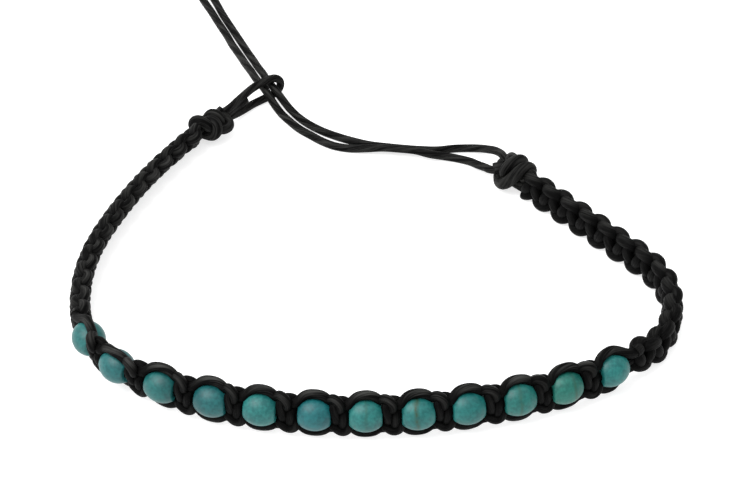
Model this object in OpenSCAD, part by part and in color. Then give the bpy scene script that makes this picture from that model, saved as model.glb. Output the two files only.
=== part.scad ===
// Knotted cord bracelet with a row of round stone beads, standing on its lower edge.
// Millimetres. X runs to the right, Y away from the bead row, Z up from the surface it stands on.

/* [Beads] */
// Diameter of a bead
bead_d = 4; // [3.6:0.1:4]
// Length of a bead along the thread, between its flat ends
bead_len = 3.8; // [3.4:0.1:3.8]
// Diameter of the hole through a bead
hole_d = 1.3; // [1.2:0.05:1.4]
// Distance from one bead to the next
bead_pitch = 6.15; // [6.1:0.05:6.4]

/* [Cord] */
// Diameter of the waxed cord
cord_d = 1; // [0.9:0.05:1]
// Diameter of the two side cords of the bead row
side_cord_d = 1.1; // [1:0.05:1.1]
// Diameter of the thread that the beads are strung on
core_d = 0.9; // [0.7:0.05:0.9]
// How far the side cords drop between two beads
cord_dip = 0.75; // [0.6:0.05:0.75]

/* [Knotted bands] */
// Square knots in each knotted band
knot_count = 13; // [11:1:13]
// Length of one square knot
knot_pitch = 3.45; // [3.3:0.05:3.5]
// Height of a knotted band
band_w = 4.3; // [4:0.1:4.6]
// Thickness of a knotted band
band_t = 2.4; // [2.2:0.1:2.6]
// How far each turn of cord stands out of the band
bump = 0.22; // [0.1:0.02:0.3]

/* [Spacer knots] */
// Length of a spacer knot along the row
spacer_len = 1.7; // [1.4:0.1:1.7]
// Thickness of a spacer knot
spacer_t = 2.36; // [2.2:0.02:2.5]
// Height of a spacer knot between the side cords
spacer_h = 2.4; // [2.2:0.1:2.5]

/* [End knots] */
// Length of the end knot beside the closing loop
left_knot_len = 5.2; // [4.6:0.1:5.4]
// Diameter of that knot
left_knot_d = 4.1; // [3.8:0.1:4.4]
// Length of the end knot that the tie cords leave
right_knot_len = 5.4; // [4.8:0.1:5.6]
// Diameter of that knot
right_knot_d = 4.5; // [4:0.1:4.6]

/* [Hidden] */

bead_count = 12;

cord_color = "#26241f";
bead_color = "#3f9a98";

// Gap left between pieces that touch on the real bracelet
gap = 0.05;

// Plan line of the band, walked from the left end knot round the front to the right one:
// each bend's length in millimetres and how far it turns in degrees
start_at = [-24.25, 23.45];
start_heading = 236;
bend_len = 0;
bend_turn = 1;
bends = [
    [25.4, 18.5],
    [19, 28],
    [12.5, 44],
    [16, 22],
    [37, 36],
    [12, 23],
    [10, 39],
    [10, 41],
    [21.6, 2]];

band_len = knot_count * knot_pitch;
row_len = bead_count * bead_pitch;
row_from = band_len;
row_to = row_from + row_len;
end_at = row_to + band_len;

// The side cords pass over the top and bottom of each bead
arch_h = bead_d / 2 + side_cord_d / 2 + gap;
saddle_h = arch_h - cord_dip;
row_z = arch_h + side_cord_d / 2;
band_join_h = 1.35;

// Lean of the band about its plan line, top edge inwards, at distances along it
lean_table = [
    [0, 36], [12, 38], [24, 31], [34, 17], [42, 1], [row_from + bead_pitch / 2, -9],
    [row_from + 1.5 * bead_pitch, -22], [row_from + 2.5 * bead_pitch, -5],
    [row_from + 3.5 * bead_pitch, 0], [end_at, 0]];

// The beads don't stand quite evenly: how far each one is shifted along the band
bead_shift = [0.1, 0.4, 0.85, 1.1, 0.8, 0.9, 0.55, 0.35, 0, -0.1, -0.4, -0.1];
shift_table = concat(
    [[row_from, 0]],
    [for (i = [0:bead_count - 1]) [row_from + (i + 0.5) * bead_pitch, bead_shift[i]]],
    [[row_to, 0]]);

// A place on the plan line as [x, y, heading]
function arc_step(p, len, rate) =
    let (r = 180 / (PI * rate), a = p[2], b = a + rate * len)
    [p[0] + r * (sin(b) - sin(a)), p[1] - r * (cos(b) - cos(a)), b];

function plan(s, i = 0, p = [start_at[0], start_at[1], start_heading]) =
    let (len = bends[i][bend_len], rate = bends[i][bend_turn] / len)
    s <= len || i == len(bends) - 1
        ? arc_step(p, s, rate)
        : plan(s - len, i + 1, arc_step(p, len, rate));

function lean(s) = lookup(s, lean_table);
function place(s) = plan(s + lookup(s, shift_table));

// Height of the band's middle line: a leaning band still touches the surface with its lower edge
function band_z(s) = (band_w / 2 - band_t / 2) * cos(lean(s)) + band_t / 2;

function smooth(t) = let (u = min(1, max(0, t))) u * u * (3 - 2 * u);

rise_len = 5;
function middle_z(s) =
    let (k = smooth((s - (row_from - rise_len)) / rise_len) * smooth((row_to + rise_len - s) / rise_len))
    band_z(s) * (1 - k) + row_z * k;

// A point given along the band, outwards from its middle, and up its height
function at(s, out, up) =
    let (p = place(s), a = p[2], l = lean(s),
         flat_out = [sin(a), -cos(a), 0],
         out_dir = flat_out * cos(l) + [0, 0, sin(l)],
         up_dir = [0, 0, cos(l)] - flat_out * sin(l))
    [p[0], p[1], middle_z(s)] + out_dir * out + up_dir * up;

// Faces of a closed solid lofted through rings of n points each
function ring_faces(rings, n) = concat(
    [[for (j = [0:n - 1]) j]],
    [for (i = [0:rings - 2], j = [0:n - 1])
        let (a = i * n + j, b = i * n + (j + 1) % n, c = b + n, d = a + n) each [[a, c, b], [a, d, c]]],
    [[for (j = [n - 1:-1:0]) (rings - 1) * n + j]]);

module loft(rings) {
    n = len(rings[0]);
    polyhedron(points = [for (r = rings) each r], faces = ring_faces(len(rings), n), convexity = 8);
}

// A tube swept along a list of points; each ring keeps the turn of the one before it
function unit(v) = v / norm(v);
function tangent(pts, i) = unit(pts[min(i + 1, len(pts) - 1)] - pts[max(i - 1, 0)]);
function carry(side, t) = unit(side - t * (side * t));
function sides(pts, i = 0, side = [0, 0, 1]) =
    let (s = carry(side, tangent(pts, i)))
    i == len(pts) - 1 ? [s] : concat([s], sides(pts, i + 1, s));

function tube_rings(pts, r, n) =
    let (side = sides(pts))
    [for (i = [0:len(pts) - 1])
        let (t = tangent(pts, i), u = side[i], v = cross(t, u))
        [for (j = [0:n - 1]) let (a = 360 * (j + 0.5) / n) pts[i] + (u * cos(a) + v * sin(a)) * r]];

module tube(pts, d, n = 8) {
    loft(tube_rings(pts, d / 2, n));
}

// Beads
function bead_s(i) = row_from + (i + 0.5) * bead_pitch;

module along_band(s) {
    p = place(s);
    translate([p[0], p[1], middle_z(s)]) rotate([0, 0, p[2]]) rotate([-lean(s), 0, 0]) children();
}

bead_curve = 2.7;
bead_steps = 12;
bead_arc = asin(bead_len / 2 / bead_curve);
bead_profile = concat(
    [[hole_d / 2, -bead_len / 2]],
    [for (i = [0:bead_steps]) let (a = bead_arc * (2 * i / bead_steps - 1))
        [bead_curve * (cos(a) - 1) + bead_d / 2, bead_curve * sin(a)]],
    [[hole_d / 2, bead_len / 2]]);

module bead(i) {
    color(bead_color) along_band(bead_s(i)) rotate([0, 90, 0]) rotate_extrude($fn = 48) polygon(bead_profile);
}

// Thread through the beads and the spacer knots
thread_step = 1.5;
module bead_thread() {
    from = row_from + 2 * gap;
    steps = round((row_len - 4 * gap) / thread_step);
    step = (row_len - 4 * gap) / steps;
    color(cord_color) tube([for (i = [0:steps]) at(from + i * step, 0, 0)], core_d);
}

// Side cords over and under the beads; the upper one lies a little to the inner face
arch_steps = 10;
arch_power = 1.6;
upper_turn = 11;
function row_join(s) = smooth(min(s - row_from, row_to - s) / (bead_pitch / 4));
function side_h(s) =
    let (u = (s - row_from) / bead_pitch, arch = saddle_h + cord_dip * pow(abs(sin(180 * u)), arch_power))
    band_join_h + (arch - band_join_h) * row_join(s);

join_gap = 0.35;
module side_cord(up) {
    steps = bead_count * arch_steps;
    from = row_from + join_gap;
    step = (row_len - 2 * join_gap) / steps;
    color(cord_color) tube(
        [for (i = [0:steps])
            let (s = from + i * step, turn = up > 0 ? upper_turn * row_join(s) : 0)
            at(s, -side_h(s) * sin(turn), up * side_h(s) * cos(turn))], side_cord_d);
}

// Spacer knots: two turns of cord on each face, tied round the thread
module cord_bar(h) {
    rotate_extrude($fn = 32) intersection() {
        union() {
            square([cord_d, h - cord_d], center = true);
            for (up = [-1, 1]) translate([0, up * (h - cord_d) / 2]) circle(d = cord_d, $fn = 32);
        }
        translate([0, -h / 2]) square([cord_d, h]);
    }
}

thread_bore_d = core_d + 0.25;
module spacer_knot(i) {
    bar_s = (spacer_len - cord_d) / 2;
    bar_out = (spacer_t - cord_d) / 2;
    color(cord_color) along_band(row_from + (i + 1) * bead_pitch) difference() {
        union() {
            cube([spacer_len * 0.9, spacer_t * 0.75, spacer_h * 0.8], center = true);
            for (a = [-1, 1], b = [-1, 1]) translate([a * bar_s, b * bar_out, 0]) cord_bar(spacer_h);
        }
        rotate([0, 90, 0]) cylinder(h = spacer_len + 2, d = thread_bore_d, center = true, $fn = 32);
    }
}

// Knotted bands: one closed form with a swelling for each crossing of the cords. Along each edge
// the turns stand out of the outer and the inner face by turns.
ring_sides = 14;
rings_per_knot = 8;
section_power = 2.5;
function band_ring(s, phase, size) = [
    for (j = [0:ring_sides - 1])
        let (a = 360 * (j + 0.5) / ring_sides,
             across = cos(a) / (band_t / 2 - bump / 2), height = sin(a) / (band_w / 2 - bump / 2),
             r = pow(pow(abs(across), section_power) + pow(abs(height), section_power), -1 / section_power),
             swell = bump / 2 * cos(2 * phase + 180),
             weave = bump * cos(phase) * sin(a))
        at(s, size * ((r + swell) * cos(a) + weave), size * (r + swell) * sin(a))];

end_taper = 1.6;
module knotted_band(from, to, narrow_first) {
    rings = knot_count * rings_per_knot;
    step = (to - from) / rings;
    color(cord_color) loft([
        for (i = [0:rings])
            let (s = from + i * step, end_d = narrow_first ? s - from : to - s,
                 size = 0.72 + 0.28 * smooth(end_d / end_taper))
            band_ring(s, 360 * i / rings_per_knot, size)]);
}

// End knots: three turns of cord drawn tight round the others
knot_turns = 3;
knot_power = 2.4;
function knot_r(x, len, d) =
    (d / 2 - bump / 2) * pow(1 - pow(abs(2 * x / len) * 0.97, knot_power), 1 / knot_power)
    - bump / 2 * cos(360 * knot_turns * (x / len + 0.5));

profile_steps = 24;
module end_knot(len, d) {
    rotate([0, 90, 0]) rotate_extrude($fn = 48) polygon(concat(
        [[0, -len / 2]],
        [for (i = [0:profile_steps]) let (x = len * (i / profile_steps - 0.5)) [knot_r(x, len, d), x]],
        [[0, len / 2]]));
}

knot_gap = 0.15;
left_knot_turn = -4;
module end_knot_left() {
    p = plan(0);
    reach = left_knot_len / 2 + knot_gap;
    color(cord_color) translate([p[0] - reach * cos(p[2]), p[1] - reach * sin(p[2]), left_knot_d / 2])
        rotate([0, 0, p[2] + left_knot_turn]) end_knot(left_knot_len, left_knot_d);
}

right_knot_turn = 4;
module end_knot_right() {
    p = plan(end_at);
    reach = right_knot_len / 2 + knot_gap;
    color(cord_color) translate([p[0] + reach * cos(p[2]), p[1] + reach * sin(p[2]), right_knot_d / 2])
        rotate([0, 0, p[2] + right_knot_turn]) end_knot(right_knot_len, right_knot_d);
}

// Closing loop: out of the left end knot, over both tie cords, round and back under them
loop_points = [
    [-20.9, 28, 2.6], [-19.9, 29.2, 2.65], [-18.9, 30.9, 2.7], [-17.9, 32.6, 2.75], [-16.9, 34.1, 2.8],
    [-15.8, 35.3, 2.85], [-14.6, 36.3, 2.85], [-13.8, 36.9, 2.55], [-13.3, 37.2, 1.9], [-13.3, 37, 1.2],
    [-13.8, 36.4, 0.7], [-14.7, 35.6, 0.5], [-15.8, 34.6, 0.5], [-17, 33.4, 0.55], [-18, 32, 0.7],
    [-18.9, 30.6, 0.95], [-19.8, 29.3, 1.25], [-20.9, 28, 1.5]];
module closing_loop() {
    color(cord_color) tube(loop_points, cord_d);
}

// Tie cords: out of the right end knot, along the surface, through the closing loop and on
tie_a_points = [
    [16.9, 17.2, 2.8], [16.6, 18.4, 2.5], [15.9, 19.8, 2], [15, 21, 1.4], [14, 22.1, 0.8],
    [12.6, 22.6, 0.5], [10.6, 22.5, 0.5], [8.3, 22.1, 0.5], [6, 22.2, 0.5], [3.7, 22.5, 0.5],
    [1.4, 22.9, 0.5], [-0.9, 23.4, 0.5], [-3.1, 24.3, 0.5], [-5.2, 25.4, 0.5], [-7.2, 26.7, 0.5],
    [-9, 28.3, 0.5], [-10.5, 30.1, 0.5], [-11.8, 32, 0.7], [-13, 33.9, 1.2], [-14.1, 35.8, 1.65],
    [-15.1, 37.8, 1.65], [-15.8, 39.9, 1.5], [-16.6, 42.1, 1.2], [-17.3, 44.3, 0.9], [-18.1, 46.5, 0.7],
    [-18.9, 48.8, 0.5], [-19.8, 51.1, 0.5], [-20.7, 53.4, 0.5], [-21.6, 55.7, 0.5], [-22.5, 58.1, 0.5],
    [-23.3, 60.5, 0.5], [-24.2, 63, 0.5], [-25.1, 65.5, 0.5]];
tie_b_points = [
    [15, 16, 1.6], [14.5, 17, 1.2], [13.6, 18.2, 0.8], [12.6, 19.4, 0.5], [11, 20.1, 0.5],
    [9.2, 20.5, 0.6], [7.2, 20.6, 0.9], [5.3, 21.1, 1.15], [3.2, 21.5, 1.15], [1, 21.9, 1.05],
    [-1.2, 22.1, 0.8], [-3.4, 22.5, 0.5], [-5.5, 23.1, 0.5], [-7.3, 24.3, 0.5], [-8.9, 25.8, 0.5],
    [-10.4, 27.3, 0.5], [-11.7, 29.1, 0.5], [-12.9, 31, 0.5], [-14, 32.9, 0.9], [-14.9, 34.6, 1.45],
    [-15.8, 36.4, 1.7], [-16.7, 38.3, 1.65], [-17.5, 40.5, 1.5], [-18.3, 42.7, 1.2], [-19, 44.9, 0.9],
    [-19.8, 47.1, 0.7], [-20.6, 49.3, 0.5], [-21.4, 51.6, 0.5], [-22.3, 53.9, 0.5], [-23.2, 56.2, 0.5],
    [-24.1, 58.6, 0.5], [-25.1, 61, 0.5], [-26, 63.3, 0.5], [-26.9, 65.5, 0.5]];
module tie_cord_a() {
    color(cord_color) tube(tie_a_points, cord_d);
}
module tie_cord_b() {
    color(cord_color) tube(tie_b_points, cord_d);
}

function two_digits(n) = str(n < 10 ? "0" : "", n);
for (i = [0:bead_count - 1]) bead(i);
for (i = [0:bead_count - 2]) spacer_knot(i);
bead_thread();
side_cord(1);  // side_cord_upper
side_cord(-1);  // side_cord_lower
knotted_band(0, row_from, true);  // knotted_band_left
knotted_band(row_to, end_at, false);  // knotted_band_right
end_knot_left();
end_knot_right();
closing_loop();
tie_cord_a();
tie_cord_b();
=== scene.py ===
# Friendship bracelet: a row of stone beads on waxed cord, tied with square knots.
# The scene is in metres. Pieces are given in millimetres, and noise and twist per metre.
import math
import bpy
import numpy as np
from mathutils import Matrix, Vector


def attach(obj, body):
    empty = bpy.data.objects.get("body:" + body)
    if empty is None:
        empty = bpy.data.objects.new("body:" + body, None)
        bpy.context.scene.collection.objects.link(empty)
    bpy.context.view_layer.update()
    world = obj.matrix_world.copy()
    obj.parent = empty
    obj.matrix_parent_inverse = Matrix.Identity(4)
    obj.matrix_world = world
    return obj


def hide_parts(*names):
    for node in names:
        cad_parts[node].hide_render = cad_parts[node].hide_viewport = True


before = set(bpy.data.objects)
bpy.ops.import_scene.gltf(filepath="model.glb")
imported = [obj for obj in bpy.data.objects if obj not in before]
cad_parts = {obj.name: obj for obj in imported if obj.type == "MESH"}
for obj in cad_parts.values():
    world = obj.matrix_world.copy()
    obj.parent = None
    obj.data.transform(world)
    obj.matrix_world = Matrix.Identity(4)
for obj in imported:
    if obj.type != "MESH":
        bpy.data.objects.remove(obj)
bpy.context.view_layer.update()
mm = 0.001
print("frame loaded")


# Nodes written as sums
class Wire:                                    # a socket that Python's operators work on
    def __init__(self, net, socket):
        self.net, self.socket = net, socket

    def __add__(self, other):
        return self.net.sum("ADD", self, other)

    def __sub__(self, other):
        return self.net.sum("SUBTRACT", self, other)

    def __mul__(self, other):
        return self.net.sum("MULTIPLY", self, other)

    def __truediv__(self, other):
        return self.net.sum("DIVIDE", self, other)

    def __rsub__(self, other):
        return self.net.sum("SUBTRACT", other, self)

    def __rtruediv__(self, other):
        return self.net.sum("DIVIDE", other, self)

    __radd__, __rmul__ = __add__, __mul__

    def out(self, name):                       # another output of the same node
        return Wire(self.net, self.socket.node.outputs[name])


class Net:                                     # one node tree being built
    def __init__(self, tree):
        self.tree = tree

    def add(self, kind, settings=None, values=None, output=0):
        node = self.tree.nodes.new(kind)
        for name, setting in (settings or {}).items():
            if name == "stops":
                ramp = node.color_ramp
                while len(ramp.elements) < len(setting):
                    ramp.elements.new(0.5)
                for element, (place, colour) in zip(ramp.elements, setting):
                    element.position, element.color = place, (*colour, 1)
            else:
                setattr(node, name, setting)
        for name, value in (values or {}).items():
            if isinstance(value, Wire):
                self.tree.links.new(value.socket, node.inputs[name])
            else:
                node.inputs[name].default_value = value
        return Wire(self, None if output is None else node.outputs[output])

    def sum(self, operation, *terms):
        vectors = [isinstance(t, tuple) or isinstance(t, Wire) and t.socket.type in ("VECTOR", "RGBA")
                   for t in terms]
        if not any(vectors):
            return self.add("ShaderNodeMath", {"operation": operation}, dict(enumerate(terms)))
        if operation == "MULTIPLY" and not all(vectors):
            scaled = {0: terms[vectors.index(True)], "Scale": terms[vectors.index(False)]}
            return self.add("ShaderNodeVectorMath", {"operation": "SCALE"}, scaled)
        return self.add("ShaderNodeVectorMath", {"operation": operation}, dict(enumerate(terms)))

    def split(self, vector):
        parts = self.add("ShaderNodeSeparateXYZ", None, {0: vector})
        return parts, parts.out("Y"), parts.out("Z")

    def vector(self, x, y, z):
        return self.add("ShaderNodeCombineXYZ", None, {"X": x, "Y": y, "Z": z})

    def dot(self, first, second):
        return self.add("ShaderNodeVectorMath", {"operation": "DOT_PRODUCT"}, {0: first, 1: second}, "Value")

    def noise(self, place, scale, detail, roughness=0.5, output=0):
        return self.add("ShaderNodeTexNoise", None, {
            "Vector": place, "Scale": scale, "Detail": detail, "Roughness": roughness}, output)

    def fade(self, value, start, end, low=0.0, high=1.0):      # low at start, high at end, level beyond both
        return self.add("ShaderNodeMapRange", {"clamp": True}, {0: value, 1: start, 2: end, 3: low, 4: high})

    def blend(self, amount, first, second):    # one colour into another
        return self.add("ShaderNodeMix", {"data_type": "RGBA"}, {0: amount, 6: first, 7: second}, 2)


# Camera in millimetres; lights and floor in metres
view = {"lens": 113, "from": (-1.3, -234.5, 173.7), "to": (-1.3, 0.2, 0)}
studio = {"sky": (0.5, 1.45), "skyFrom": (-0.5, -0.15, 0.85), "skyFade": (-0.2, 1.0),
          "key": {"place": (-0.32, -0.12, 0.56), "size": 0.5, "power": 4.2},
          "fill": {"place": (0.5, 0.2, 0.5), "size": 0.5, "power": 0.2},
          "floor": (0.5, 0.5, 0.5), "floorRoughness": 0.9, "floorGlow": 0.7, "floorHalf": 1.5}


def setCamera():
    lens = bpy.data.cameras.new("camera")
    lens.lens, lens.clip_start, lens.clip_end = view["lens"], 0.01, 10
    camera = bpy.data.objects.new("camera", lens)
    bpy.context.collection.objects.link(camera)
    place, target = Vector(view["from"]) * mm, Vector(view["to"]) * mm
    camera.location = place
    camera.rotation_euler = (target - place).to_track_quat("-Z", "Y").to_euler()
    bpy.context.scene.camera = camera


def areaLight(name, place, size, power):
    lamp = bpy.data.lights.new(name, "AREA")
    lamp.size, lamp.energy = size, power
    light = bpy.data.objects.new(name, lamp)
    bpy.context.collection.objects.link(light)
    light.location = place
    light.rotation_euler = (-Vector(place)).to_track_quat("-Z", "Y").to_euler()


def buildStudio():
    bpy.context.scene.view_settings.view_transform = "Standard"   # white paper stays white
    world = bpy.data.worlds.new("studio")
    bpy.context.scene.world = world
    world.use_nodes = True
    background = world.node_tree.nodes["Background"]
    background.inputs["Color"].default_value = (1, 1, 1, 1)
    sky = Net(world.node_tree)                 # brighter from the upper left, as from a large soft box
    glow = sky.dot(sky.add("ShaderNodeTexCoord", output="Generated"), studio["skyFrom"])
    strength = sky.fade(glow, *studio["skyFade"], *studio["sky"])
    world.node_tree.links.new(strength.socket, background.inputs["Strength"])
    areaLight("key_light", **studio["key"])
    areaLight("fill_light", **studio["fill"])
    half = studio["floorHalf"]
    mesh = bpy.data.meshes.new("floor")
    corners = [(-half, -half, 0), (half, -half, 0), (half, half, 0), (-half, half, 0)]
    mesh.from_pydata(corners, [], [(0, 1, 2, 3)])
    floor = bpy.data.objects.new("floor", mesh)
    bpy.context.collection.objects.link(floor)
    paper = bpy.data.materials.new("pale_floor")
    paper.use_nodes = True
    shader = paper.node_tree.nodes["Principled BSDF"]
    shader.inputs["Base Color"].default_value = (*studio["floor"], 1)
    shader.inputs["Roughness"].default_value = studio["floorRoughness"]
    shader.inputs["Emission Color"].default_value = (1, 1, 1, 1)     # a light table, so shadows stay pale
    shader.inputs["Emission Strength"].default_value = studio["floorGlow"]
    mesh.materials.append(paper)


setCamera()
buildStudio()
print("camera and light set")


def newMaterial(name):
    material = bpy.data.materials.new(name)
    material.use_nodes = True
    return material, Net(material.node_tree), material.node_tree.nodes["Principled BSDF"]


def coat(net, shader, look, colour, height, fine):             # what both finishes share
    bump = net.add("ShaderNodeBump", None, {"Strength": look["bump"], "Distance": mm, "Height": height})
    rough = fine * look["roughSpread"] + look["roughFrom"]
    for name, value in {"Base Color": colour, "Roughness": rough, "Normal": bump}.items():
        net.tree.links.new(value.socket, shader.inputs[name])
    shader.inputs["Specular IOR Level"].default_value = look["specular"]


# Waxed cord; its noise runs along the strands, so the numbers across and along it differ
# Painted shade: the first colour is the near-black painted into the cord's hollows, the second the paler grey
# of its outer faces, as lit and worn
cordLook = {"shaded_hollow": (0.0015, 0.0015, 0.0015), "lit_and_worn": (0.042, 0.042, 0.040), "shadeAndWearFrom": 0.12,
            "plies": 3, "plyDepth": 0.03, "fibreDepth": 0.22,
            "fibreAcross": 4, "fibreAlong": 330, "patchAlong": 450,
            "plyShare": 0.35, "fibreShare": 1.5, "patchShare": 0.35, "grain": (1.0, 1.45),
            "bump": 0.7, "roughFrom": 0.38, "roughSpread": 0.25, "specular": 0.035}


def waxedCord():                               # painted shade: black in the hollows, a paler grey on the outer faces for both light and wear
    look = cordLook
    material, net, shader = newMaterial("waxed_cord")
    lay = net.add("ShaderNodeAttribute", {"attribute_name": "lay"}, output="Vector")
    wear = net.add("ShaderNodeAttribute", {"attribute_name": "wear"}, output="Fac")
    across, side, along = net.split(lay)
    ply = net.sum("ABSOLUTE", net.sum("SINE", net.sum("ARCTAN2", side, across) * (look["plies"] / 2)))
    wide = look["fibreAcross"]
    fibre = net.noise(net.vector(across * wide, side * wide, along * look["fibreAlong"]), 1.0, 3.0)
    patch = net.noise(net.vector(across, side, along * look["patchAlong"]), 1.0, 2.0)
    # painted shade: cord surfaces deep in a knot fade to the near-black, outer ones to the paler grey
    lit_and_worn = net.fade(wear, look["shadeAndWearFrom"], 1.0)
    mixed = ply * look["plyShare"] + fibre * look["fibreShare"] + patch * look["patchShare"]
    colour = net.blend(lit_and_worn * net.fade(mixed, *look["grain"]), (*look["shaded_hollow"], 1), (*look["lit_and_worn"], 1))
    coat(net, shader, look, colour, ply * look["plyDepth"] + fibre * look["fibreDepth"], fibre)
    return material


cordMaterial = waxedCord()

# Turquoise stone
stoneLook = {"pale": (0.013, 0.124, 0.119), "deep": (0.004, 0.070, 0.071), "vein": (0.020, 0.034, 0.010),
             "cloud": 260, "cloudRoughness": 0.6, "speck": 2600, "warp": 420.0, "warpBy": 0.0012,
             "crack": 240.0, "crackWidth": 0.045, "clouds": (0.4, 0.6), "cloudShare": 0.55,
             "veined": (0.62, 0.25, 0.7), "broken": (0.36, 0.6), "brokenShare": 0.6,
             "speckDepth": 0.006, "crackDepth": 0.02,
             "bump": 0.5, "roughFrom": 0.32, "roughSpread": 0.2, "specular": 0.33}


def turquoise(name, tint, veins, middle, way, streak):   # tint shifts the colour, veins and streak show brown
    look = stoneLook
    material, net, shader = newMaterial(name)
    place = net.add("ShaderNodeTexCoord", output="Object")
    cloud = net.noise(place, look["cloud"], 4.0, look["cloudRoughness"])
    fine = net.noise(place, look["speck"], 3.0)
    warp = net.noise(place, look["warp"], 3.0, output="Color")
    bent = place + (warp - (0.5, 0.5, 0.5)) * look["warpBy"]
    edges = {"Vector": bent, "Scale": look["crack"]}
    crack = net.add("ShaderNodeTexVoronoi", {"feature": "DISTANCE_TO_EDGE"}, edges, "Distance")
    line = net.fade(crack, look["crackWidth"], 0.0)
    rare, spread, often = look["veined"]
    where = net.fade(cloud, rare - spread * veins, often)
    offset, width, strength = streak           # a brown seam across the thread, in mm from the bead's middle
    along = net.dot(bent - middle, way) / mm - offset
    seam = net.fade(net.sum("ABSOLUTE", along), width, 0.0, 0.0, strength)
    share = look["brokenShare"]
    broken = net.fade(cloud * share + fine * (1 - share), *look["broken"])
    deep, pale = [(*(c * s for c, s in zip(look[shade], tint)), 1) for shade in ("deep", "pale")]
    share = look["cloudShare"]
    stone = net.blend(net.fade(cloud * share + fine * (1 - share), *look["clouds"]), deep, pale)
    brown = net.sum("MAXIMUM", line * where * veins, seam * broken)
    height = fine * look["speckDepth"] - line * where * (look["crackDepth"] * veins)
    coat(net, shader, look, net.blend(brown, stone, (*look["vein"], 1)), height, fine)
    return material


# Geometry Nodes trees
def newTree(name, sockets):
    tree = bpy.data.node_groups.new(name, "GeometryNodeTree")
    for label, kind in {"Geometry": "Geometry", **sockets}.items():
        tree.interface.new_socket(name=label, in_out="INPUT", socket_type="NodeSocket" + kind)
    tree.interface.new_socket(name="Geometry", in_out="OUTPUT", socket_type="NodeSocketGeometry")
    net = Net(tree)
    start = net.add("NodeGroupInput")
    return net, {label: start.out(label) for label in {"Geometry": 0, **sockets}}


def finishTree(net, geometry, material):
    plain = net.add("GeometryNodeRealizeInstances", None, {"Geometry": geometry})
    painted = net.add("GeometryNodeSetMaterial", None, {"Geometry": plain, "Material": material})
    net.add("NodeGroupOutput", None, {"Geometry": painted}, None)


def storeOn(net, geometry, name, value, kind="FLOAT"):
    return net.add("GeometryNodeStoreNamedAttribute", {"data_type": kind, "domain": "POINT"},
                   {"Geometry": geometry, "Name": name, "Value": value})


def readFrom(net, name, kind="FLOAT"):
    return net.add("GeometryNodeInputNamedAttribute", {"data_type": kind}, {"Name": name})


def sweepCord(net, curve, diameter, sides, twist):
    length = net.add("GeometryNodeSplineParameter", output="Length")
    turn = net.add("GeometryNodeSplineParameter", output="Factor")
    profile = net.add("GeometryNodeCurvePrimitiveCircle", {"mode": "RADIUS"}, {
        "Resolution": sides, "Radius": diameter * 0.5})
    tube = net.add("GeometryNodeCurveToMesh", None, {
        "Curve": storeOn(net, curve, "along", length), "Profile Curve": storeOn(net, profile, "around", turn),
        "Fill Caps": True})
    angle = readFrom(net, "around") * (2 * math.pi) + readFrom(net, "along") * twist
    lay = net.vector(net.sum("COSINE", angle), net.sum("SINE", angle), readFrom(net, "along"))
    tube = storeOn(net, tube, "lay", lay, "FLOAT_VECTOR")
    return net.add("GeometryNodeSetShadeSmooth", None, {"Geometry": tube})


driftAlong = 450                               # how fast a cord wanders off its path, per metre


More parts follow.
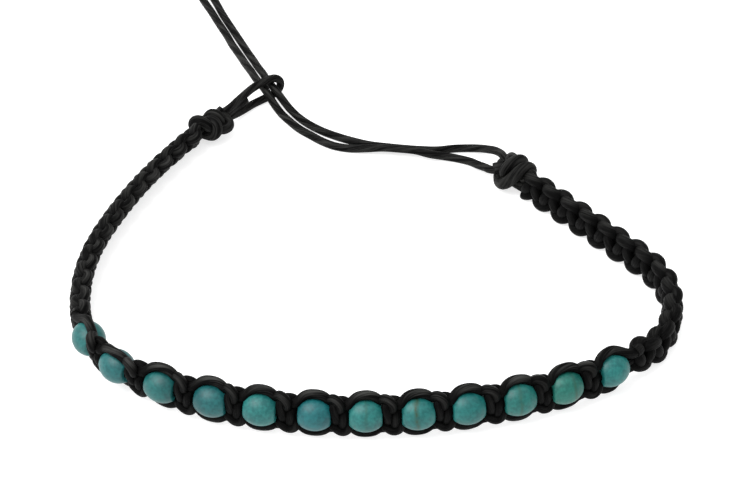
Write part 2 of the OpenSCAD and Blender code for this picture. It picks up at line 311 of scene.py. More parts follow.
def alongBandTree():
    net, given = newTree("cord along the band", {
        "Line": "Object", "Line Step": "Float", "Line Start": "Float", "Start": "Float",
        "Repeats": "Int", "Lead Points": "Int", "Repeat Points": "Int", "Repeat Length": "Float",
        "Unevenness": "Float", "Seed": "Float", "Cord Diameter": "Float", "Sides": "Int", "Twist": "Float",
        "Shade Half Height": "Float", "Shade Half Depth": "Float", "Material": "Material"})
    base = given["Geometry"]
    points = net.add("GeometryNodeAttributeDomainSize", {"component": "MESH"}, {"Geometry": base})
    extra = (given["Repeats"] - 1) * given["Repeat Points"]
    chain = net.add("GeometryNodeMeshLine", {"mode": "OFFSET"}, {
        "Count": points + extra, "Offset": (0, 0, mm)})
    index = net.add("GeometryNodeInputIndex")
    turn = net.sum("FLOOR", (index - given["Lead Points"]) / given["Repeat Points"])
    turn = net.sum("MAXIMUM", net.sum("MINIMUM", turn, given["Repeats"] - 1), 0)
    place = net.add("GeometryNodeInputPosition")
    station = net.add("GeometryNodeSampleIndex", {"data_type": "FLOAT_VECTOR"},
                      {"Geometry": base, "Value": place, "Index": index - turn * given["Repeat Points"]})
    s, high, outwards = net.split(station)
    s = s + turn * given["Repeat Length"] + given["Start"]
    drift = net.noise(net.vector(s * driftAlong, high * driftAlong, given["Seed"]), 1.0, 1.0, output="Color")
    driftS, driftH, driftN = net.split((drift - (0.5, 0.5, 0.5)) * given["Unevenness"])
    s = s + driftS
    high, outwards = high + driftH, outwards + driftN
    row = (s - given["Line Start"]) / given["Line Step"]
    low = net.sum("FLOOR", row)
    line = net.add("GeometryNodeObjectInfo", {"transform_space": "ORIGINAL"}, {
        "Object": given["Line"]}, "Geometry")

    def onLine(value):
        ends = [net.add("GeometryNodeSampleIndex", {"data_type": "FLOAT_VECTOR"},
                        {"Geometry": line, "Value": value, "Index": low + step}) for step in (0, 1)]
        return net.add("ShaderNodeMix", {"data_type": "VECTOR"}, {0: row - low, 4: ends[0], 5: ends[1]}, 1)

    frames = {"middle": onLine(place), "outward": onLine(readFrom(net, "outward", "FLOAT_VECTOR")),
              "upward": onLine(readFrom(net, "upward", "FLOAT_VECTOR"))}
    spot = frames["middle"] + frames["outward"] * outwards + frames["upward"] * high
    moved = net.add("GeometryNodeSetPosition", None, {"Geometry": chain, "Position": spot})
    for name, value in frames.items():
        moved = storeOn(net, moved, name, value, "FLOAT_VECTOR")
    curve = net.add("GeometryNodeMeshToCurve", None, {"Mesh": moved})
    tube = sweepCord(net, curve, given["Cord Diameter"], given["Sides"], given["Twist"])
    # Painted shade: how far a point lies out from the band's middle, measured against the band's half height
    # and depth; points further in are painted darker
    away = place - readFrom(net, "middle", "FLOAT_VECTOR")
    reach = []
    for name, half in (("upward", "Shade Half Height"), ("outward", "Shade Half Depth")):
        part = net.dot(away, readFrom(net, name, "FLOAT_VECTOR")) / given[half]
        reach.append(part * part)
    finishTree(net, storeOn(net, tube, "wear", reach[0] * reach[0] + reach[1] * reach[1]), given["Material"])
    return net.tree


def freeCordTree():
    net, given = newTree("free cord", {
        "Step": "Float", "Middle": "Vector", "Shade Radius": "Float", "Most Light And Wear": "Float",
        "Cord Diameter": "Float", "Sides": "Int", "Twist": "Float", "Material": "Material"})
    curve = net.add("GeometryNodeMeshToCurve", None, {"Mesh": given["Geometry"]})
    curve = net.add("GeometryNodeCurveSplineType", {"spline_type": "CATMULL_ROM"}, {"Curve": curve})
    curve = net.add("GeometryNodeSetSplineResolution", None, {"Geometry": curve, "Resolution": 16})
    curve = net.add("GeometryNodeResampleCurve", {"mode": "LENGTH"}, {
        "Curve": curve, "Length": given["Step"]})
    tube = sweepCord(net, curve, given["Cord Diameter"], given["Sides"], given["Twist"])
    # Painted shade: a cord is painted darker near the knot's middle and paler further out, up to a cap
    away = net.add("GeometryNodeInputPosition") - given["Middle"]
    far = net.add("ShaderNodeVectorMath", {"operation": "LENGTH"}, {0: away}, "Value")
    reach = far / given["Shade Radius"]
    wear = net.sum("MINIMUM", reach * reach * reach, given["Most Light And Wear"])
    finishTree(net, storeOn(net, tube, "wear", wear), given["Material"])
    return net.tree


def lineMesh(name, points, attributes=None):
    mesh = bpy.data.meshes.new(name)
    mesh.from_pydata([tuple(p) for p in points], [(i, i + 1) for i in range(len(points) - 1)], [])
    for label, values in (attributes or {}).items():
        mesh.attributes.new(label, "FLOAT_VECTOR", "POINT").data.foreach_set("vector", np.ravel(values))
    return mesh


def runTree(name, tree, mesh, values):         # the tree's result as a plain mesh object
    maker = bpy.data.objects.new(name + "_maker", mesh)
    bpy.context.collection.objects.link(maker)
    modifier = maker.modifiers.new("nodes", "NODES")
    modifier.node_group = tree
    for item in tree.interface.items_tree:
        if item.in_out == "INPUT" and item.name in values:
            modifier[item.identifier] = values[item.name]
    bpy.context.view_layer.update()
    graph = bpy.context.evaluated_depsgraph_get()
    result = bpy.data.meshes.new_from_object(maker.evaluated_get(graph))
    result.name = name
    bpy.data.objects.remove(maker)
    piece = bpy.data.objects.new(name, result)
    bpy.context.collection.objects.link(piece)
    return piece


def joinPieces(pieces):
    bpy.ops.object.select_all(action="DESELECT")
    for piece in pieces:
        piece.select_set(True)
    bpy.context.view_layer.objects.active = pieces[0]
    bpy.ops.object.join()
    return pieces[0]


# Cords drawn tight: they shorten while they keep clear of each other and of what they go round
def evenOut(points, shift):
    path = np.vstack([points, points[:1] + shift]) if shift[0] else points
    length = np.r_[0, np.cumsum(np.linalg.norm(np.diff(path, axis=0), axis=1))]
    at = np.linspace(0, length[-1], len(path))[:len(points)]
    return np.stack([np.interp(at, length, path[:, k]) for k in range(3)], 1)


def pullTight(cords, diameter, hold, repeat=0, threads=(), stones=(),
              rounds=250, pushes=3, pull=0.3, ownGap=2.2):
    number, count = len(cords), len(cords[0])
    shift = np.array((repeat, 0, 0))
    copies = (-1, 0, 1) if repeat else (0,)
    which, order = np.repeat(np.arange(number), count), np.tile(np.arange(count), number)
    same = which[:, None] == which
    points = np.array(cords, float)
    for _ in range(rounds):
        after, before = np.roll(points, -1, 1), np.roll(points, 1, 1)
        if repeat:
            after[:, -1], before[:, 0] = after[:, -1] + shift, before[:, 0] - shift
        else:
            after[:, -1], before[:, 0] = points[:, -1], points[:, 0]
        step = np.linalg.norm(after - before, axis=2).mean() / 2
        flat = (points + pull * ((after + before) / 2 - points)).reshape(-1, 3)
        for _ in range(pushes):
            others = np.vstack([flat + k * shift for k in copies])
            apart = np.hstack([np.where(same, abs(order[:, None] - order - k * count) * step, np.inf)
                               for k in copies])
            squares = (flat ** 2).sum(1)[:, None] + (others ** 2).sum(1) - 2 * flat @ others.T
            gap = np.sqrt(np.maximum(squares, 1e-9))
            near = (gap < diameter) & (apart > ownGap * diameter)
            weight = np.where(near, (diameter - gap) / 2 / gap, 0)
            move = weight.sum(1)[:, None] * flat - weight @ others
            touches = near.sum(1).astype(float)
            for high, radius in threads:       # straight cords along the band
                away = flat[:, 1:] - (high, 0)
                gap = np.linalg.norm(away, axis=1)
                deep = np.maximum(diameter / 2 + radius - gap, 0)
                move[:, 1:] += (deep / np.maximum(gap, 1e-6))[:, None] * away
                touches += deep > 0
            for middle, half, radius in stones:    # beads, with flat ends
                away = flat - (middle, 0, 0)
                gap = np.linalg.norm(away, axis=1)
                deep, deepEnd = radius + diameter / 2 - gap, half + diameter / 2 - abs(away[:, 0])
                inside = (deep > 0) & (deepEnd > 0)
                byEnd = inside & (deepEnd < deep)
                move[:, 0] += np.where(byEnd, deepEnd * np.sign(away[:, 0]), 0)
                move += (np.where(inside & ~byEnd, deep, 0) / np.maximum(gap, 1e-6))[:, None] * away
                touches += inside
            points = hold((flat + move / np.maximum(touches, 1)[:, None]).reshape(number, count, 3))
            flat = points.reshape(-1, 3)
        points = np.array([evenOut(cord, shift) for cord in points])
    return points


def smooth(t):
    t = np.clip(t, 0, 1)
    return t * t * (3 - 2 * t)


def looseKnot(shape, length, slant):           # one cord of a square knot: s along the band, up, outwards
    count, front, back = shape["points"], shape["front"], shape["back"]
    turn = math.pi * (2 * np.arange(count) / count - 1)
    s = length / (2 * math.pi) * (turn + slant * np.sin(2 * turn))
    out = (front - back) / 2 - (front + back) / 2 * np.cos(2 * turn)
    return np.stack([s, shape["height"] * np.cos(turn), out], 1)


def looseOverhand(count, size):                # the polynomial trefoil, its ends drawn out straight
    t = np.linspace(-2.5, 2.5, count)
    fade = smooth((2.5 - abs(t)) / 0.5)
    x = np.where(abs(t) < 2, t ** 5 - 10 * t, np.sign(t) * (12 + 20 * (abs(t) - 2)))
    up, out = (t ** 3 - 3 * t) * fade, 0.8 * (t ** 4 - 4 * t ** 2 + 2) * fade
    return np.stack([0.28 * x, up, out], 1) * size


# Plan line of the band, as in the part's source
band = {"start": (-24.25, 23.45), "heading": 236, "width": 4.3, "thickness": 2.4,
        "bends": ((25.4, 18.5), (19, 28), (12.5, 44), (16, 22), (37, 36),
                  (12, 23), (10, 39), (10, 41), (21.6, 2)),    # length of an arc, degrees that it turns
        "knots": 13, "knotLength": 3.45, "beads": 12, "beadPitch": 6.15,
        "rowHeight": 3.2, "rise": 5, "lift": 0.12,
        "spacing": ((44.85, 0), (47.93, 0.1), (54.08, 0.4), (60.23, 0.85), (66.38, 1.1), (72.53, 0.8),
                    (78.68, 0.9), (84.83, 0.55), (90.98, 0.35), (97.13, 0), (103.28, -0.1), (109.43, -0.4),
                    (115.58, -0.1), (118.65, 0)),  # distance along the band, shift along it
        "lean": ((0, 36), (12, 38), (24, 31), (34, 17), (42, 1), (47.925, -9), (54.075, -22), (60.225, -5),
                 (66.375, 0), (163.5, 0)),     # distance along the band, degrees that it leans
        "step": 0.25, "spare": 4}
rowFrom = band["knots"] * band["knotLength"]
rowTo = rowFrom + band["beads"] * band["beadPitch"]
bandEnd = rowTo + rowFrom


def planPoint(s):                              # x, y and heading at a distance along the band
    x, y = band["start"]
    heading = math.radians(band["heading"])
    for number, (length, turn) in enumerate(band["bends"]):
        bend = math.radians(turn) / length
        last = s <= length or number == len(band["bends"]) - 1
        after = heading + bend * (s if last else length)
        x += (math.sin(after) - math.sin(heading)) / bend
        y -= (math.cos(after) - math.cos(heading)) / bend
        heading = after
        if last:
            return x, y, heading
        s -= length


def spaced(s):                                 # the beads don't stand quite evenly
    return s + np.interp(s, *zip(*band["spacing"]))


def bandFrame(s):                              # middle of the band, its outward and its upward direction
    x, y, heading = planPoint(max(spaced(s), 0))
    if s < 0:
        x, y = x + s * math.cos(heading), y + s * math.sin(heading)
    lean = math.radians(np.interp(s, *zip(*band["lean"])))
    low = (band["width"] - band["thickness"]) / 2 * math.cos(lean) + band["thickness"] / 2 + band["lift"]
    rise = band["rise"]
    raised = smooth((s - rowFrom + rise) / rise) * smooth((rowTo + rise - s) / rise)
    flat = np.array((math.sin(heading), -math.cos(heading), 0))
    up = np.array((0, 0, 1))
    return (np.array((x, y, low * (1 - raised) + band["rowHeight"] * raised)),
            flat * math.cos(lean) + up * math.sin(lean), up * math.cos(lean) - flat * math.sin(lean))


stations = np.arange(-band["spare"], bandEnd + band["spare"], band["step"])
places, outwards, upwards = zip(*map(bandFrame, stations))
bandMesh = lineMesh("band_line", np.array(places) * mm, {"outward": outwards, "upward": upwards})
bandLine = bpy.data.objects.new("band_line", bandMesh)
bpy.context.collection.objects.link(bandLine)

cord = {"diameter": 1.12, "tieDiameter": 1.1, "sides": 16, "step": 0.15, "twist": 400, "straightPoints": 400}
alongBand, freeCord = alongBandTree(), freeCordTree()


def layCord(name, route, start, repeats, lead, repeatPoints, repeatLength, diameter, reach,
            unevenness=0.12, seed=1):
    return runTree(name, alongBand, lineMesh(name, route * mm), {
        "Line": bandLine, "Line Step": band["step"] * mm, "Line Start": -band["spare"] * mm,
        "Start": start * mm, "Repeats": repeats, "Lead Points": lead, "Repeat Points": repeatPoints,
        "Repeat Length": repeatLength * mm, "Unevenness": unevenness * mm, "Seed": float(seed),
        "Cord Diameter": diameter * mm, "Shade Half Height": reach[0] * mm, "Shade Half Depth": reach[1] * mm,
        "Sides": cord["sides"], "Twist": float(cord["twist"]), "Material": cordMaterial})


def layStraight(name, length, start, high, diameter, reach):   # a core or a thread, dead straight in the band
    count = cord["straightPoints"]
    route = np.stack([np.linspace(*length, count), np.full(count, high), np.zeros(count)], 1)
    return layCord(name, route, start, 1, 0, count, 0, diameter, reach, 0)


def sweepRoute(name, route, diameter=cord["diameter"], middle=(0, 0, 0), shadeRadius=0.1, mostLightAndWear=0.6):
    return runTree(name, freeCord, lineMesh(name, np.array(route) * mm), {
        "Step": cord["step"] * mm, "Middle": tuple(c * mm for c in middle), "Shade Radius": shadeRadius * mm,
        "Most Light And Wear": mostLightAndWear, "Cord Diameter": diameter * mm, "Sides": cord["sides"],
        "Twist": float(cord["twist"]), "Material": cordMaterial})


def settlePiece(piece, *nodes):
    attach(piece, "root")
    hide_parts(*nodes)


# Knotted bands: slants and widths are of the cord that loops on the inner face and of the other one
# Each band's reach sets its painted shade: the larger it is, the more of the band is painted dark, so the
# right band is painted darker
bandKnot = {"points": 96, "height": 1.65, "front": 0.75, "back": 0.65, "width": 4.4, "thickness": 2.6,
            "left": {"diameter": 1.3, "slants": (1.3, 1.35), "widths": (0.96, 0.88), "reach": (2.2, 1.3)},
            "right": {"diameter": 1.5, "slants": (1.2, 1.25), "widths": (1.03, 0.96), "reach": (2.7, 1.7)},
            "cores": (-0.32, 0.32), "coreDiameter": 0.75}
halfTurn = np.array((1, -1, -1))               # the other cord is this one turned about the band's middle


def bandKnots(side):
    given, knots = bandKnot[side], []
    for slant, wide, turn in zip(given["slants"], given["widths"], ((1, 1, 1), halfTurn)):
        knot = looseKnot(bandKnot, band["knotLength"], slant)
        for axis, size in ((1, bandKnot["width"] * wide), (2, bandKnot["thickness"])):
            knot[:, axis] *= (size - given["diameter"]) / 2 / abs(knot[:, axis]).max()
        knots.append(knot * turn)
    return knots


def tieBand(side, start, node, seed):
    count, length = band["knots"], band["knotLength"]
    diameter, reach = bandKnot[side]["diameter"], bandKnot[side]["reach"]
    cords = [layCord(f"band_{side}_cord", knot, start + length / 2, count, 0, len(knot), length, diameter,
                     reach, seed=seed) for knot in bandKnots(side)]
    cords += [layStraight(f"band_{side}_core", (0, count * length), start, high, bandKnot["coreDiameter"],
                          reach) for high in bandKnot["cores"]]
    settlePiece(joinPieces(cords), node)


tieBand("left", 0, "knotted_band_left", 1)
tieBand("right", rowTo, "knotted_band_right", 2)
print("bands tied")

# Beads: turned on the thread's line, with flat ends and a rounded hole
bead = {"diameter": 4, "length": 3.8, "curve": 2.7, "edge": 0.45, "hole": 1.3, "rim": 0.09,
        "around": 72, "along": 36, "edgePoints": 9, "rimPoints": 5, "wallPoints": 8,
        "tints": ((1.2, 1, 1), (0.8, 0.85, 0.9), (0.65, 0.8, 0.8), (0.65, 0.8, 0.85), (1.3, 1.2, 1.15),
                  (0.5, 0.85, 0.95), (1.15, 1.15, 1.1), (1, 1.05, 1.02), (0.9, 1.15, 1.1), (0.9, 1.05, 0.95),
                  (0.95, 1.05, 0.85), (1.15, 1.25, 1.2)),      # red, green and blue, bead by bead
        "veins": (0, 0, 0, 0, 0.1, 0, 0.4, 0, 0.2, 0, 0, 0),
        "streaks": {7: (0.05, 0.3, 0.5), 8: (-0.25, 0.45, 1), 10: (-0.2, 0.35, 0.6),
                    11: (0.6, 0.3, 0.6)}}      # by bead, a brown seam's place, width and strength


def beadProfile():                             # closed outline as (along the thread, from its line)
    half, rim, curve = bead["length"] / 2, bead["rim"], bead["curve"]
    hole, drop, edge = bead["hole"] / 2, bead["curve"] - bead["diameter"] / 2, bead["edge"]
    side = math.acos((half - edge) / (curve - edge))           # where the side meets the rounded edge
    arc = [(curve * math.cos(a), curve * math.sin(a) - drop)
           for a in np.linspace(side, math.pi - side, bead["along"])]
    middle = ((curve - edge) * math.cos(side), (curve - edge) * math.sin(side) - drop)
    corner = [(middle[0] + edge * math.cos(a), middle[1] + edge * math.sin(a))
              for a in np.linspace(0, side, bead["edgePoints"])[:-1]]
    lip = [(half - rim + rim * math.sin(a), hole + rim - rim * math.cos(a))
           for a in np.linspace(0, math.pi / 2, bead["rimPoints"])]
    wall = [(x, hole) for x in np.linspace(-half + rim, half - rim, bead["wallPoints"])[1:-1]]
    outer = corner + arc + [(-x, r) for x, r in reversed(corner)]
    return outer + [(-x, r) for x, r in reversed(lip)] + wall + lip


def makeBead(number):
    x, y, heading = planPoint(spaced(rowFrom + (number + 0.5) * band["beadPitch"]))
    profile, around = beadProfile(), bead["around"]
    turns = [2 * math.pi * k / around for k in range(around)]
    points = [(x + a * math.cos(heading) - r * math.cos(t) * math.sin(heading),
               y + a * math.sin(heading) + r * math.cos(t) * math.cos(heading),
               band["rowHeight"] + r * math.sin(t)) for t in turns for a, r in profile]
    rows, quads = len(profile), [(0, 0), (0, 1), (1, 1), (1, 0)]
    faces = [[(i + di) % around * rows + (j + dj) % rows for di, dj in quads]
             for i in range(around) for j in range(rows)]
    name = f"bead_{number + 1:02d}"
    mesh = bpy.data.meshes.new(name + "_stone")
    mesh.from_pydata([tuple(c * mm for c in point) for point in points], [], faces)
    mesh.polygons.foreach_set("use_smooth", [True] * len(faces))
    middle = tuple(c * mm for c in (x, y, band["rowHeight"]))
    way = (math.cos(heading), math.sin(heading), 0.0)
    streak = bead["streaks"].get(number + 1, (0, 0.1, 0))
    mesh.materials.append(turquoise(name + "_stone", bead["tints"][number], bead["veins"][number],
                                    middle, way, streak))
    piece = bpy.data.objects.new(name + "_stone", mesh)
    bpy.context.collection.objects.link(piece)
    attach(piece, "root")
    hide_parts(name)


for number in range(band["beads"]):
    makeBead(number)
print("beads turned")

# Cords of the bead row: under and over are the degrees from a bead's top at which the cords hug it
# The row's reach sets its painted shade: parts deep in the row, such as the bars between the beads and the
# thread, are painted darker
rowKnot = {"points": 96, "length": 2.95, "height": 1.65, "front": 0.75, "back": 0.6, "slant": 1.4,
           "pressed": 0.9, "pulledRound": 0.4, "smoothings": 5, "leadPoints": 24,
           "top": 1.6, "bottom": 2.0, "face": 0.6, "knotHalf": 1.2,
           "bars": (-0.5, 0.4), "barTilt": 0.2, "barHalf": 1.2, "barReach": 1.4,
           "spreadAtEnds": 0.2, "endsFrom": 1.3, "endsIn": 0.6,
           "spreadBehind": 0.9, "behindFrom": 0.1, "behindIn": 0.4,
           "over": 11, "under": 181, "hug": 0.35, "hugFrom": 1, "hugIn": 0.8,
           "leaves": 0.72, "besideFrom": 1.05, "besideIn": 0.35, "bendsWithin": 2.2,
           "cordDiameter": 1.14, "threadDiameter": 1.2, "threadInset": 0.1, "reach": (3.05, 1.6)}


def besideBead(s, turn):                       # up and out of a cord that hugs a bead, turned from its top
    across = np.minimum(band["beadPitch"] / 2 - abs(s), rowKnot["bendsWithin"])
    arc = (bead["curve"] + rowKnot["cordDiameter"] / 2) ** 2 - across ** 2
    tucked = rowKnot["hug"] * smooth((across - rowKnot["hugFrom"]) / rowKnot["hugIn"])
    reach = np.sqrt(arc) - bead["curve"] + bead["diameter"] / 2 - tucked
    return np.stack([reach * math.cos(math.radians(turn)), -reach * math.sin(math.radians(turn))], -1)


def looseRowKnots():
    knot = looseKnot(rowKnot, rowKnot["length"], rowKnot["slant"])
    turn = 2 * np.arange(len(knot)) / len(knot) - 1
    aside = smooth((abs(turn) - rowKnot["leaves"]) / (1 - rowKnot["leaves"]))[:, None]
    s, ways = turn * band["beadPitch"] / 2, []
    for side, angle in ((np.ones(3), rowKnot["under"]), (halfTurn, rowKnot["over"])):
        ways.append(knot * side * (1 - aside) + aside * np.column_stack([s, besideBead(s, angle)]))
    return ways


def heldRow(points):                           # the knot stays flat and narrow, the cords on the beads
    s, high, out = points[..., 0], points[..., 1], points[..., 2]
    high[0] = np.minimum(high[0], rowKnot["top"])
    high[:] = np.where(abs(s) < rowKnot["knotHalf"], np.maximum(high, -rowKnot["bottom"]), high)
    out[:] = np.clip(out, -rowKnot["face"], rowKnot["face"])
    atEnds = smooth((abs(high[0]) - rowKnot["endsFrom"]) / rowKnot["endsIn"])
    behind = smooth((rowKnot["behindFrom"] - out[0]) / rowKnot["behindIn"])
    wide = rowKnot["spreadAtEnds"] * atEnds + rowKnot["spreadBehind"] * behind
    tilt = np.clip(high[0] / rowKnot["barHalf"], -1, 1) * rowKnot["barTilt"]   # one bar leans, one bows
    least, most = rowKnot["bars"][0] - tilt - wide, rowKnot["bars"][1] + abs(tilt) + wide
    s[0] = np.where(abs(s[0]) < rowKnot["barReach"], np.clip(s[0], least, most), s[0])
    for route, turn in zip(points, (rowKnot["under"], rowKnot["over"])):
        beside = smooth((abs(route[:, 0]) - rowKnot["besideFrom"]) / rowKnot["besideIn"])[:, None]
        route[:, 1:] += beside * (besideBead(route[:, 0], turn) - route[:, 1:])
        route[0, 0] = -band["beadPitch"] / 2
    return points


nextKnot = np.array((band["beadPitch"], 0, 0))
stones = [(side * band["beadPitch"] / 2, bead["length"] / 2, bead["diameter"] / 2) for side in (-1, 1)]
rowRoutes = pullTight(looseRowKnots(), rowKnot["pressed"], heldRow, band["beadPitch"],
                      [(0, rowKnot["pulledRound"])], stones)
for _ in range(rowKnot["smoothings"]):         # no kinks where a cord was held back
    path = np.concatenate([rowRoutes[:, -1:] - nextKnot, rowRoutes, rowRoutes[:, :1] + nextKnot], 1)
    rowRoutes = (path[:, :-2] + 2 * path[:, 1:-1] + path[:, 2:]) / 4


def leadIn(first, last):                       # easy curve between a band's last knot and a bead's middle
    t = np.linspace(0, 1, rowKnot["leadPoints"])[:, None]
    first, last = np.array(first), np.array(last)
    run = np.array((abs(last[0] - first[0]), 0, 0))
    t2, t3 = t * t, t * t * t
    fromFirst = first * (2 * t3 - 3 * t2 + 1) + run * (t3 - 2 * t2 + t)
    toLast = last * (3 * t2 - 2 * t3) + run * (t3 - t2)
    return (fromFirst + toLast)[:-1]


for side, route, knot in zip(("lower", "upper"), rowRoutes, bandKnots("left")):
    _, high, out = knot[0]
    last = np.array((band["beadPitch"], high, out))
    before = leadIn(last * (-1, 1, 1), route[0])
    after = np.vstack([leadIn(route[0] + nextKnot, last), last])
    piece = layCord(f"row_cord_{side}", np.vstack([before, route, after]), rowFrom + band["beadPitch"],
                    band["beads"] - 1, len(before), len(route), band["beadPitch"], rowKnot["cordDiameter"],
                    rowKnot["reach"], seed=3)
    knots = [f"spacer_knot_{i:02d}" for i in range(1, band["beads"]) if side == "lower"]
    settlePiece(piece, f"side_cord_{side}", *knots)
threadEnds = (rowKnot["threadInset"], rowTo - rowFrom - rowKnot["threadInset"])
thread = layStraight("thread", threadEnds, rowFrom, 0, rowKnot["threadDiameter"], rowKnot["reach"])
settlePiece(thread, "bead_thread")
print("bead row tied")

# Closing loop and tie cords: the routes are the part's own
loopRoute = (
    (-20.9, 28, 2.6), (-19.9, 29.2, 2.65), (-18.9, 30.9, 2.7), (-17.9, 32.6, 2.75), (-16.9, 34.1, 2.8),
    (-15.8, 35.3, 2.85), (-14.6, 36.3, 2.85), (-13.8, 36.9, 2.55), (-13.3, 37.2, 1.9), (-13.3, 37, 1.2),
    (-13.8, 36.4, 0.7), (-14.7, 35.6, 0.5), (-15.8, 34.6, 0.5), (-17, 33.4, 0.55), (-18, 32, 0.7),
    (-18.9, 30.6, 0.95), (-19.8, 29.3, 1.25), (-20.9, 28, 1.5))
tieRoutes = {
    "a": ((16.9, 17.2, 2.8), (16.6, 18.4, 2.5), (15.9, 19.8, 2), (15, 21, 1.4), (14, 22.1, 0.8),
          (12.6, 22.6, 0.5), (10.6, 22.5, 0.5), (8.3, 22.1, 0.5), (6, 22.2, 0.5), (3.7, 22.5, 0.5),
          (1.4, 22.9, 0.5), (-0.9, 23.4, 0.5), (-3.1, 24.3, 0.5), (-5.2, 25.4, 0.5), (-7.2, 26.7, 0.5),
          (-9, 28.3, 0.5), (-10.5, 30.1, 0.5), (-11.8, 32, 0.7), (-13, 33.9, 1.2), (-14.1, 35.8, 1.65),
          (-15.1, 37.8, 1.65), (-15.8, 39.9, 1.5), (-16.6, 42.1, 1.2), (-17.3, 44.3, 0.9), (-18.1, 46.5, 0.7),
          (-18.9, 48.8, 0.5), (-19.8, 51.1, 0.5), (-20.7, 53.4, 0.5), (-21.6, 55.7, 0.5), (-22.5, 58.1, 0.5),
          (-23.3, 60.5, 0.5), (-24.2, 63, 0.5), (-25.1, 65.5, 0.5)),
    "b": ((15, 16, 1.6), (14.5, 17, 1.2), (13.6, 18.2, 0.8), (12.6, 19.4, 0.5), (11, 20.1, 0.5),
          (9.2, 20.5, 0.6), (7.2, 20.6, 0.9), (5.3, 21.1, 1.15), (3.2, 21.5, 1.15), (1, 21.9, 1.05),
          (-1.2, 22.1, 0.8), (-3.4, 22.5, 0.5), (-5.5, 23.1, 0.5), (-7.3, 24.3, 0.5), (-8.9, 25.8, 0.5),
          (-10.4, 27.3, 0.5), (-11.7, 29.1, 0.5), (-12.9, 31, 0.5), (-14, 32.9, 0.9), (-14.9, 34.6, 1.45),
          (-15.8, 36.4, 1.7), (-16.7, 38.3, 1.65), (-17.5, 40.5, 1.5), (-18.3, 42.7, 1.2), (-19, 44.9, 0.9),
          (-19.8, 47.1, 0.7), (-20.6, 49.3, 0.5), (-21.4, 51.6, 0.5), (-22.3, 53.9, 0.5), (-23.2, 56.2, 0.5),
          (-24.1, 58.6, 0.5), (-25.1, 61, 0.5), (-26, 63.3, 0.5), (-26.9, 65.5, 0.5))}

# End knots: both cords together in an overhand knot
# Each knot's radius sets how far from its middle its cords are painted in shade; the filler's radius does the
# same for the filler
endKnots = {
    "left": {"middle": (-22.71, 25.73, 2.05), "heading": 52, "length": 5.2, "size": 1.35, "pressed": 1.15,
             "roll": 160, "shape": (0.84, 0.9, 0.85), "slide": 0.1, "diameter": 1.5, "shadeRadius": 2.4,
             "free": (loopRoute[0], loopRoute[-1])},
    "right": {"middle": (17.78, 14.16, 2.25), "heading": 133.5, "length": 5.4, "size": 1.42, "pressed": 1.35,
              "roll": 240, "shape": (1.12, 0.95, 0.84), "slide": 0.8, "diameter": 1.65, "shadeRadius": 2.6,
              "free": (tieRoutes["a"][0], tieRoutes["b"][0])}}
knotCord = {"points": 110, "spread": 0.5, "rounds": 350, "pull": 0.5, "ownGap": 1.8, "endsFrom": 0.8,
            "bandSide": 0.6, "coreHigh": 0.5, "bodyHalf": 1, "bodyFade": 2, "filler": 2.4, "fillerShadeRadius": 4,
            "buried": 0.35}
cutEnds = (((-22.2, 26.6, 2.6), (-21.5, 27.3, 3.0), (-20.9, 27.9, 3.3)),
           ((-22.0, 26.6, 2.2), (-20.6, 28.2, 2.1), (-19.3, 30.2, 2.0), (-17.9, 32.3, 1.95)))


def buried(point, side):                       # a point inside the knot, where a loose cord is drawn from
    point, middle = np.array(point), np.array(endKnots[side]["middle"])
    return tuple(point + knotCord["buried"] * (middle - point))


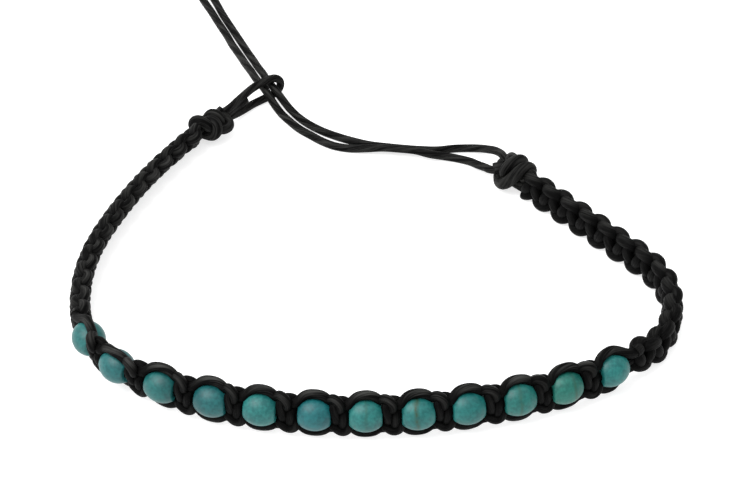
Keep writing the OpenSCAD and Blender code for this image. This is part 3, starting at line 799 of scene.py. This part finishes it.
def tieEndKnot(side):
    given = endKnots[side]
    heading, middle = math.radians(given["heading"]), np.array(given["middle"])
    along = np.array((math.cos(heading), math.sin(heading), 0))
    axes = np.array((along, (-along[1], along[0], 0), (0, 0, 1)))
    free = [(np.array(buried(point, side)) - middle) @ axes.T for point in given["free"]]
    bandSide, coreHigh = -given["length"] / 2 - knotCord["bandSide"], knotCord["coreHigh"]
    core = [np.array((bandSide, 0, high)) for high in (coreHigh, -coreHigh)]
    roll, count = math.radians(given["roll"]), knotCord["points"]
    path = looseOverhand(count, given["size"])
    rolled = ((math.cos(roll), math.sin(roll)), (-math.sin(roll), math.cos(roll)))
    path[:, 1:] = path[:, 1:] @ np.array(rolled)
    slope = np.gradient(path, axis=0)
    slope /= np.linalg.norm(slope, axis=1)[:, None]
    beside = [np.array((0, 0, 1.0))]
    for way in slope[1:]:                      # carried along without twisting
        kept = beside[-1] - way * (beside[-1] @ way)
        beside.append(kept / np.linalg.norm(kept))
    beside = np.array(beside)
    cords = [path + knotCord["spread"] * given["pressed"] * beside * way for way in (1, -1)]
    endsFrom = knotCord["endsFrom"]
    ends = smooth((abs(np.linspace(-1, 1, count)) - endsFrom) / (1 - endsFrom))[:, None]
    for strand, start, end in zip(cords, core, free):
        strand += ends * (np.where(np.arange(count)[:, None] < count / 2, start, end) - strand)

    def held(points):
        for strand, start, end in zip(points, core, free):
            strand[0], strand[-1] = start, end
        return points

    cords = pullTight(cords, given["pressed"], held, rounds=knotCord["rounds"], pull=knotCord["pull"],
                      ownGap=knotCord["ownGap"])
    body = 1 - smooth((abs(cords[..., :1]) - knotCord["bodyHalf"]) / knotCord["bodyFade"])
    cords = cords * (1 + body * (np.array(given["shape"]) - 1)) + body * (given["slide"], 0, 0)
    cords[..., 2] = np.maximum(cords[..., 2], given["diameter"] / 2 - middle[2])   # none of it in the table
    strands = [sweepRoute(f"end_knot_{side}_cord", strand @ axes + middle, given["diameter"], middle,
                          given["shadeRadius"]) for strand in cords]
    strands.append(sweepRoute("filler", [middle + along * s for s in (-1, 0, 1)], knotCord["filler"], middle,
                              knotCord["fillerShadeRadius"]))
    strands += [sweepRoute("cut_end", route) for route in cutEnds if side == "left"]
    settlePiece(joinPieces(strands), f"end_knot_{side}")


tieEndKnot("left")
tieEndKnot("right")

inLoop = (buried(loopRoute[0], "left"), *loopRoute, buried(loopRoute[-1], "left"))
settlePiece(sweepRoute("closing_loop_cord", inLoop), "closing_loop")

for side, route in tieRoutes.items():
    piece = sweepRoute(f"tie_cord_{side}_cord", (buried(route[0], "right"), *route), cord["tieDiameter"])
    settlePiece(piece, f"tie_cord_{side}")
    metres = np.array(route) * mm
    length = float(np.linalg.norm(np.diff(metres, axis=0), axis=1).sum())
print("loose cords laid")

bpy.data.objects.remove(bandLine)

print("done")
